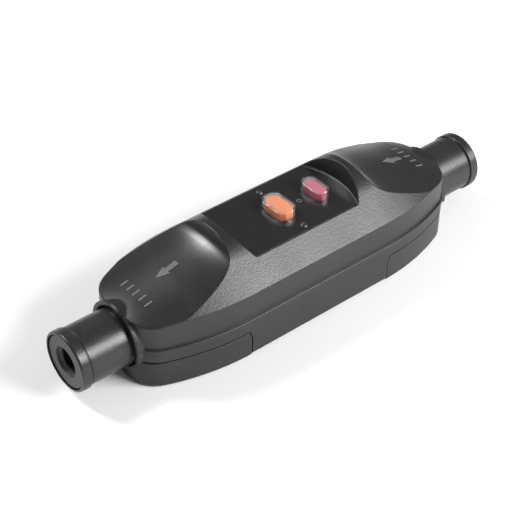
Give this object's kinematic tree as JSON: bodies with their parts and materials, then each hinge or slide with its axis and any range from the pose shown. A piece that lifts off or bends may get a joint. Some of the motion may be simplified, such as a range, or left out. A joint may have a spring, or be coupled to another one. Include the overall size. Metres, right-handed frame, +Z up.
{
  "type": "in-line residual current unit",
  "caption": "Long in-line residual current unit with a dark two-part casing, thumb scoops, capped test and reset keys on a sunken panel, and a screwed cable gland at each end.",
  "frame": {"origin": "middle of the base, where the casing rests", "axes": "+X from the load end to the supply end, +Z up through the keys"},
  "size_m": [0.2174, 0.057, 0.0485],
  "materials": {
    "casing_plastic": "satin",
    "gland_plastic": "satin",
    "insert_plastic": "satin",
    "panel_plastic": "gloss",
    "reset_plastic": "gloss",
    "test_plastic": "gloss",
    "clear_plastic": "gloss",
    "seal_rubber": "matte",
    "screw_steel": "satin",
    "spring_steel": "satin",
    "board_laminate": "satin",
    "relay_plastic": "satin",
    "strip_plastic": "satin",
    "terminal_brass": "satin",
    "core_resin": "satin"
  },
  "bodies": {
    "casing": {"upper_casing": "casing_plastic", "lower_casing": "casing_plastic", "casing_gasket": "seal_rubber", "key_panel": "panel_plastic", "panel_screws": "screw_steel", "casing_screws": "screw_steel", "cover_screws": "screw_steel", "terminal_cover_load": "casing_plastic", "terminal_cover_supply": "casing_plastic", "gland_body_load": "gland_plastic", "gland_body_supply": "gland_plastic", "cable_seal_load": "seal_rubber", "cable_seal_supply": "seal_rubber", "cord_grip_load": "insert_plastic", "cord_grip_supply": "insert_plastic", "grip_screws": "screw_steel", "terminal_strip_load": "strip_plastic", "terminal_strip_supply": "strip_plastic", "terminals_load": "terminal_brass", "terminals_supply": "terminal_brass", "terminal_screws": "screw_steel", "circuit_board": "board_laminate", "board_screws": "screw_steel", "key_switches": "relay_plastic", "trip_relay": "relay_plastic", "sensing_core": "core_resin", "supply_straps": "terminal_brass", "load_straps": "terminal_brass", "earth_strap": "terminal_brass", "reset_spring": "spring_steel", "test_spring": "spring_steel"},
    "reset_button": {"reset_key": "reset_plastic", "reset_key_cap": "clear_plastic"},
    "test_button": {"test_key": "test_plastic", "test_key_cap": "clear_plastic"},
    "washer_load": {"slip_washer_load": "gland_plastic"},
    "washer_supply": {"slip_washer_supply": "gland_plastic"},
    "nut_load": {"gland_nut_load": "gland_plastic", "nut_insert_load": "insert_plastic"},
    "nut_supply": {"gland_nut_supply": "gland_plastic", "nut_insert_supply": "insert_plastic"}
  },
  "joints": [
    {"name": "reset_press", "type": "slide", "parent": "casing", "child": "reset_button", "axis": [0, 0, -1], "range_m": [0, 0.0015], "stiffness_N_per_m": 400, "springref_m": -0.001, "deforming": ["reset_spring"]},
    {"name": "test_press", "type": "slide", "parent": "casing", "child": "test_button", "axis": [0, 0, -1], "range_m": [0, 0.0015], "stiffness_N_per_m": 400, "springref_m": -0.001, "deforming": ["test_spring"]},
    {"name": "washer_slide_load", "type": "slide", "parent": "casing", "child": "washer_load", "axis": [-1, 0, 0], "range_m": [0, 0.012]},
    {"name": "nut_turn_load", "type": "hinge", "parent": "washer_load", "child": "nut_load", "pos_m": [-0.09, 0, 0.0175], "axis": [-1, 0, 0], "range_deg": [0, 2880]},
    {"name": "washer_slide_supply", "type": "slide", "parent": "casing", "child": "washer_supply", "axis": [1, 0, 0], "range_m": [0, 0.012]},
    {"name": "nut_turn_supply", "type": "hinge", "parent": "washer_supply", "child": "nut_supply", "pos_m": [0.09, 0, 0.0175], "axis": [1, 0, 0], "range_deg": [0, 2880]}
  ],
  "couplings": [
    {"joint": "nut_turn_load", "follows": "washer_slide_load", "rad_per_m": 4188.8},
    {"joint": "nut_turn_supply", "follows": "washer_slide_supply", "rad_per_m": 4188.8}
  ]
}
